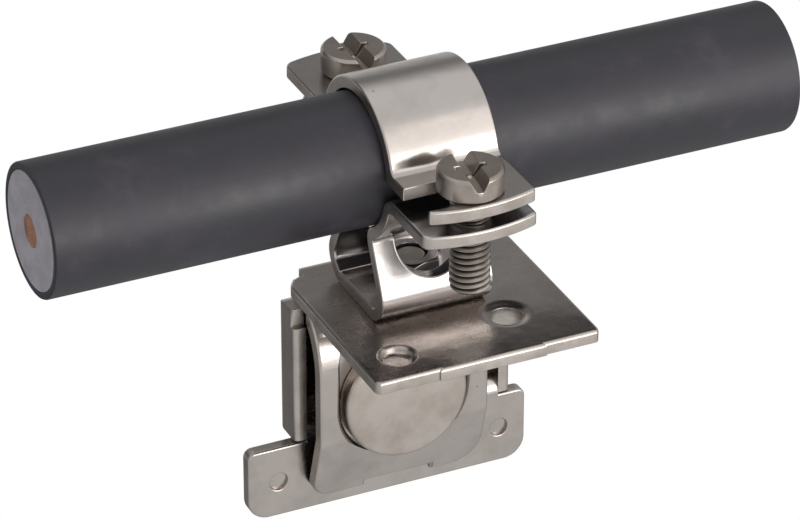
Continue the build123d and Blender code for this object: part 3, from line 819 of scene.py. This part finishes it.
def threaded_bar(radius, pitch, turns):
    """Closed bar along Z from the origin, with a thread that is a little thicker than a radius."""
    root = radius - DEPTH_PER_PITCH * pitch
    crest = radius + PROUD
    bpy.ops.object.select_all(action="DESELECT")
    bpy.ops.mesh.primitive_plane_add(size=1, location=(0, 0, 0))
    bar = bpy.context.object
    outline = ((root, 0.0), (crest, CREST[0] * pitch), (root, pitch), (crest, CREST[1] * pitch))
    for vertex, (x, z) in zip(bar.data.vertices, outline):
        vertex.co = (x * MM, 0, z * MM)
    # The outline stays open at the root, so its face and its closing edge go.
    mesh = bmesh.new()
    mesh.from_mesh(bar.data)
    bmesh.ops.delete(mesh, geom=mesh.faces[:], context="FACES_ONLY")
    closing = [e for e in mesh.edges if all(v.co.x < (root + 0.001) * MM for v in e.verts)]
    bmesh.ops.delete(mesh, geom=closing, context="EDGES")
    mesh.to_mesh(bar.data)
    mesh.free()
    apply_modifier(bar, "turn and rise", "SCREW", axis="Z", angle=2 * pi, screw_offset=pitch * MM,
                   iterations=turns, steps=STEPS, render_steps=STEPS, use_merge_vertices=False)
    bpy.ops.object.mode_set(mode="EDIT")
    bpy.ops.mesh.select_all(action="SELECT")
    bpy.ops.mesh.remove_doubles(threshold=0.001 * MM)
    bpy.ops.mesh.bisect(plane_co=(0, 0, 1.25 * pitch * MM), plane_no=(0, 0, 1), use_fill=True,
                        clear_inner=True, threshold=CUT)
    bpy.ops.mesh.select_all(action="SELECT")
    bpy.ops.mesh.bisect(plane_co=(0, 0, (turns - 0.25) * pitch * MM), plane_no=(0, 0, 1),
                        use_fill=True, clear_outer=True, threshold=CUT)
    bpy.ops.mesh.select_all(action="SELECT")
    bpy.ops.mesh.normals_make_consistent(inside=False)
    bpy.ops.object.mode_set(mode="OBJECT")
    return bar


print("a thread of 1 mm pitch is", DEPTH_PER_PITCH, "mm deep")

# %% Cut a thread
SLEEVE_WALL = 0.4            # mm, the sleeve is this much wider than the shank
SLEEVE_SPARE = 1.0           # mm, and this much longer than the thread
BAR_SPARE = 5                # turns of the bar that stand out of the sleeve


def thread_cutter(radius, pitch, length):
    """Sleeve along Z from the origin, with a threaded bore, to cut a thread into a plain shank."""
    bar = threaded_bar(radius, pitch, int(length / pitch) + BAR_SPARE)
    bar.location.z = -3 * pitch * MM
    only(bar)
    bpy.ops.object.transform_apply(location=True)
    bpy.ops.object.select_all(action="DESELECT")
    long = length + SLEEVE_SPARE
    bpy.ops.mesh.primitive_cylinder_add(vertices=48, radius=(radius + SLEEVE_WALL) * MM,
                                        depth=long * MM, location=(0, 0, long / 2 * MM))
    sleeve = bpy.context.object
    bpy.ops.object.transform_apply(location=True)
    apply_modifier(sleeve, "bore", "BOOLEAN", operation="DIFFERENCE", object=bar, solver="EXACT")
    bpy.data.objects.remove(bar)
    return sleeve


def thread_shank(piece, start, away, radius, pitch, length):
    """Cut a thread into a shank, from a point in mm along a direction to beyond its end."""
    cutter = thread_cutter(radius, pitch, length)
    cutter.location = Vector(start) * MM
    cutter.rotation_euler = Vector(away).to_track_quat("Z", "Y").to_euler()
    only(cutter)
    bpy.ops.object.transform_apply(location=True, rotation=True, scale=True)
    apply_modifier(piece, "thread", "BOOLEAN", operation="DIFFERENCE", object=cutter,
                   solver="EXACT")
    bpy.data.objects.remove(cutter)
    print(piece.name, "threaded over", length, "mm,", faults(piece), "faults")


print("sleeve for a shank of 3 mm radius:", 3 + SLEEVE_WALL, "mm radius outside")

# %% [markdown]
# The grooves of a thread get painted shade: the colour darkens from the crest to the root, and the
# root is duller too. The distance from the screw's axis tells one from the other, so no texture is
# needed.

# %% Threads with painted shade
SMUDGE = 1.5                 # mm, noise that breaks up the even painted shade of the roots


def rolled_thread(name, point, axis, crest, depth):
    """Thread of a screw through a point in mm, along an axis by number: painted shade, and less
    gloss, at the root.
    """
    material, tree, shader = new_material(name)
    place = add(tree, "ShaderNodeTexCoord").outputs["Object"]
    across = [1.0, 1.0, 1.0]
    across[axis] = 0.0
    shift = [-value * MM * keep for value, keep in zip(point, across)]
    from_axis = add(tree, "ShaderNodeMapping", Vector=place, Location=shift, Scale=across)
    radius = add(tree, "ShaderNodeVectorMath", {"operation": "LENGTH"},
                 _0=from_axis.outputs["Vector"])
    smudge = add(tree, "ShaderNodeTexNoise", Vector=place, Scale=1 / (SMUDGE * MM), Detail=3.0)
    spread = add(tree, "ShaderNodeMath", {"operation": "MULTIPLY_ADD"}, _0=smudge.outputs["Fac"],
                 _1=0.35 * depth * MM, _2=radius.outputs["Value"])
    height = add(tree, "ShaderNodeMapRange", Value=spread.outputs["Value"],
                 From_Min=(crest - 0.75 * depth) * MM, From_Max=(crest + 0.15 * depth) * MM)
    # Painted shade: dark at the root and steel colour at the crest, set by the distance from the
    # axis.
    tint = add(tree, "ShaderNodeValToRGB", Fac=height.outputs["Result"],
               stops=[(0.0, linear("403C39")), (0.4, linear("6C6661")), (0.8, linear("C2BBB4"))])
    tree.links.new(tint.outputs["Color"], shader.inputs["Base Color"])
    gloss = add(tree, "ShaderNodeMapRange", Value=height.outputs["Result"], To_Min=0.5,
                To_Max=0.28)
    tree.links.new(gloss.outputs["Result"], shader.inputs["Roughness"])
    shader.inputs["Metallic"].default_value = 1.0
    return material


def in_thread(start, away, radius):
    """Rule that finds the faces of a thread's grooves."""
    def rule(middle, normal):
        out = middle - Vector(start)
        down = out.dot(Vector(away))
        return (down > 0.2 and (out - down * Vector(away)).length < radius - PROUD
                and abs(normal.dot(Vector(away))) < 0.97)
    return rule


def finish_fastener(piece, node, body, material, thread):
    """Finish a fastener, with painted shade in the grooves of its thread."""
    if not thread:
        finish_piece(piece, node, body, material)
        return
    start, away, radius, pitch = thread[:4]
    axis = max(range(3), key=lambda number: abs(away[number]))
    grooves = rolled_thread("rolled thread of the " + piece.name.replace("_", " "), start, axis,
                            radius, 0.6 * pitch)
    finish_piece(piece, node, body, material, grooves,
                 in_thread(start, away, radius))


print("noise in the painted shade of the threads:", SMUDGE, "mm")

# %% [markdown]
# ## Fasteners
#
# The carriage bolt and the screws are cold-headed stainless steel, with rolled threads. Heading
# leaves every edge a little round, and years in a drawer leave the heads slightly mottled. They
# are all made in one loop: copy, soften all edges alike, cut the thread, finish.


# %% Fasteners
def even_edge(width):
    """Rule that gives all convex edges the same width."""
    return lambda middle, along, normals, convex: width if convex else 0.0


def screw_thread(y):
    """Thread of a clip screw that stands at y: start, direction, radius, pitch and length."""
    return ((0, y, screw_seat - 0.2), (0, 0, -1), 3.0, 1.0, 16.0)


screw_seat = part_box("top_clip")[0][2] / MM + SHEET
bolt_thread = ((0, jaw_front + SHEET + 5.0, bolt_height), (0, 1, 0), 4.0, 1.25, 20.0)
stud_thread = ((0, axis_y, plate_top + 0.2), (0, 0, 1), 2.5, 0.8, 6.0)
# Node, name, body, finish, width of its edges in mm, least angle of an edge in degrees, thread.
FASTENERS = (
    ("jaw_bolt", "carriage_bolt", "jaw", bolt_steel, 0.3, 20, bolt_thread),
    ("jaw_washer", "flat_washer", "bracket", bolt_steel, 0.2, 40, None),
    ("jaw_nut", "hexagon_nut", "jaw_nut", bolt_steel, 0.12, 40, None),
    ("strap_stud", "pressed_stud", "bracket", bolt_steel, 0.12, 40, stud_thread),
    ("strap_nut", "small_hexagon_nut", "strap_nut", strap_steel, 0.1, 40, None),
    ("clip_screw_front", "slotted_screw_front", "clip_screw_front", screw_steel, 0.14, 20,
     screw_thread(axis_y - HOLE_STEP)),
)
for node, name, body, material, width, sharp, thread in FASTENERS:
    piece = copy_of(node, name)
    soften(piece, even_edge(width), segments=2, sharp=sharp)
    if thread:
        thread_shank(piece, *thread)
    finish_fastener(piece, node, body, material, thread)

# %% [markdown]
# The rear screw is the same as the front one, with its slot turned by 8 degrees, as nobody lines
# up the slots of two screws. It is modelled once and copied. The thread's finish is its own,
# because that measures from the screw's axis.

# %% Second screw
SLOT_TURN = 8.0              # degrees

front_screw = bpy.data.objects["slotted_screw_front"]
rear_screw = front_screw.copy()
rear_screw.data = front_screw.data.copy()
rear_screw.name = "slotted_screw_rear"
bpy.context.scene.collection.objects.link(rear_screw)
from_front = Matrix.Translation(Vector((0, HOLE_STEP - axis_y, 0)) * MM)
to_rear = Matrix.Translation(Vector((0, axis_y + HOLE_STEP, 0)) * MM)
rear_screw.data.transform(to_rear @ Matrix.Rotation(radians(SLOT_TURN), 4, "Z") @ from_front)
finish_fastener(rear_screw, "clip_screw_rear", "clip_screw_rear", screw_steel,
                screw_thread(axis_y + HOLE_STEP))

# %% [markdown]
# ## Conductor
#
# The conductor is sawn to a short piece. The saw leaves a flat face, and a light pass of a file
# takes the burr off the sheath. Nothing moves between sheath, insulation and core, so three
# tubes in each other are enough, with narrow bevels that catch a line of light.

# %% Conductor
# Node, name, finish, slot and width of its edges in mm.
CONDUCTOR = (
    ("conductor_sheath", "sawn_sheath", sheath_black, "sheath", 0.3),
    ("conductor_insulation", "sawn_insulation", insulation_grey, "insulation", 0.1),
    ("conductor_core", "sawn_core", core_copper, "copper", 0.1),
)
for node, name, material, slot, width in CONDUCTOR:
    piece = copy_of(node, name)
    soften(piece, even_edge(width), segments=2, sharp=40)
    finish_piece(piece, node, "cradle", material)

# %% [markdown]
# ## Floor
#
# The photograph shows the holder cut out on white, from the left and above. The camera sees white
# paper, and the paper lies far below, so it lends only its white to the reflections. Polished
# steel shows the room, so a dark strip behind the object gives its folds their contrast. Light
# Path tells the camera's rays from mirrored ones, so each sees its own paper.


# %% Floor
def by_ray(tree, plain, mirrored, camera):
    """Mix of three shaders: for plain light, for what metal mirrors, and for the camera."""
    path = add(tree, "ShaderNodeLightPath")
    glance = add(tree, "ShaderNodeMath", {"operation": "MAXIMUM"}, _0=path.outputs["Is Glossy Ray"],
                 _1=path.outputs["Is Transmission Ray"])
    seen = add(tree, "ShaderNodeMixShader", _0=glance.outputs["Value"], _1=plain, _2=mirrored)
    seen = add(tree, "ShaderNodeMixShader", _0=path.outputs["Is Camera Ray"],
               _1=seen.outputs["Shader"], _2=camera)
    return seen.outputs["Shader"]


def white_paper():
    """Paper that the camera sees white and the metal nearly so, and that is plain otherwise."""
    material, tree, shader = new_material("white paper")
    shader.inputs["Base Color"].default_value = linear("E0E0E0")
    shader.inputs["Roughness"].default_value = 0.9
    white = add(tree, "ShaderNodeEmission", Color=grey(1.0), Strength=1.0)
    # Metal sees bright paper in front, a dark strip 0.5 to 0.9 m behind, and paper again beyond.
    place = add(tree, "ShaderNodeTexCoord")
    place = add(tree, "ShaderNodeSeparateXYZ", Vector=place.outputs["Object"])
    away = add(tree, "ShaderNodeMapRange", Value=place.outputs["Y"], From_Min=-0.3, From_Max=1.7)
    fade = add(tree, "ShaderNodeValToRGB", Fac=away.outputs["Result"],
               stops=[(0.0, grey(0.90)), (0.40, grey(0.22)), (0.60, grey(0.22)),
                      (0.90, grey(0.80))])
    softer = add(tree, "ShaderNodeEmission", Color=fade.outputs["Color"], Strength=1.0)
    output = next(node for node in tree.nodes if node.type == "OUTPUT_MATERIAL")
    seen = by_ray(tree, shader.outputs["BSDF"], softer.outputs["Emission"],
                  white.outputs["Emission"])
    tree.links.new(seen, output.inputs["Surface"])
    return material


FLOOR_SIZE = 6.0             # m
FLOOR_HEIGHT = -0.45         # m

bpy.ops.object.select_all(action="DESELECT")
bpy.ops.mesh.primitive_plane_add(size=FLOOR_SIZE, location=(0, 0, FLOOR_HEIGHT))
floor = bpy.context.object
floor.name = "floor"
floor.data.materials.append(white_paper())

# %% [markdown]
# ## Room
#
# Steel has no colour of its own to speak of: it shows what it mirrors. So the room matters more
# here than the lamps. For mirrored rays it is nearly white in front, falls to a dark band behind
# the object and is pale again right at the back. It is lighter overhead and to the right.

# %% Room
world = bpy.data.worlds.new("soft studio")
bpy.context.scene.world = world
world.use_nodes = True
sky = world.node_tree
sky.nodes.clear()
way = add(sky, "ShaderNodeTexCoord")
way = add(sky, "ShaderNodeSeparateXYZ", Vector=way.outputs["Generated"])
# From 0, straight to the front, to 1, straight to the back.
depth = add(sky, "ShaderNodeMapRange", Value=way.outputs["Y"], From_Min=-1.0, From_Max=1.0)
band = add(sky, "ShaderNodeValToRGB", Fac=depth.outputs["Result"],
           stops=[(0.30, grey(0.95)), (0.67, grey(0.40)), (0.85, grey(0.12)), (0.93, grey(0.12)),
                  (0.98, grey(0.70))])
above = add(sky, "ShaderNodeMapRange", Value=way.outputs["Z"], From_Min=0.50, From_Max=0.80,
            To_Min=0.0, To_Max=0.65)
right = add(sky, "ShaderNodeMapRange", Value=way.outputs["X"], From_Min=0.25, From_Max=0.55,
            To_Min=0.0, To_Max=0.30)
level = add(sky, "ShaderNodeMath", {"operation": "ADD"}, _0=band.outputs["Color"],
            _1=above.outputs["Result"])
level = add(sky, "ShaderNodeMath", {"operation": "ADD"}, _0=level.outputs["Value"],
            _1=right.outputs["Result"])
level = add(sky, "ShaderNodeMath", {"operation": "MINIMUM"}, _0=level.outputs["Value"], _1=1.0)
room = add(sky, "ShaderNodeBackground", Color=grey(1.0), Strength=0.55)
mirror_room = add(sky, "ShaderNodeBackground", Color=grey(1.0), Strength=level.outputs["Value"])
white = add(sky, "ShaderNodeBackground", Color=grey(1.0), Strength=1.0)
add(sky, "ShaderNodeOutputWorld",
    Surface=by_ray(sky, room.outputs["Background"], mirror_room.outputs["Background"],
                   white.outputs["Background"]))
print("room:", world.name)

# %% [markdown]
# ## Lamps
#
# The white band low on the clip is the mirror image of a wide, low soft box in front, a little to
# the right. A second, fainter one above it makes the softer grey over that band. Both are warm by
# a trace, as the photograph's light is.

# %% Lamps
AIM = (0, 0, 0.05)


def soft_lamp(name, place, size, power, colour):
    """Rectangular soft box that looks at the object: place and size in m, power in watts."""
    data = bpy.data.lights.new(name, "AREA")
    data.shape = "RECTANGLE"
    data.size, data.size_y = size
    data.energy = power
    data.color = linear(colour)[:3]
    lamp = bpy.data.objects.new(name, data)
    bpy.context.scene.collection.objects.link(lamp)
    lamp.location = place
    lamp.rotation_euler = (Vector(AIM) - Vector(place)).to_track_quat("-Z", "Y").to_euler()
    return lamp


soft_lamp("front soft box", (0.454, -0.944, 0.2), (0.9, 0.42), 7.0, "FFFCF7")
soft_lamp("upper soft box", (0.361, -0.75, 0.72), (0.9, 0.65), 1.35, "FFF8F0")

# %% [markdown]
# ## Camera
#
# The photograph was taken with a long lens, from the left and above. Place, angles and focal
# length were fitted to the photograph's straight edges and to the round conductor.

# %% Camera
LOOK_DOWN = 30.20            # degrees below level
LOOK_RIGHT = 24.86           # degrees from straight ahead

lens = bpy.data.cameras.new("photo camera")
lens.lens = 218.0
lens.sensor_width = 36.0
lens.clip_start = 0.01
camera = bpy.data.objects.new("photo camera", lens)
bpy.context.scene.collection.objects.link(camera)
camera.location = (-0.2601, -0.5650, 0.3963)
camera.rotation_euler = (radians(90 - LOOK_DOWN), 0, radians(-LOOK_RIGHT))
bpy.context.scene.camera = camera
bpy.context.scene.view_settings.view_transform = "Standard"
print("camera:", tuple(round(v, 3) for v in camera.location))
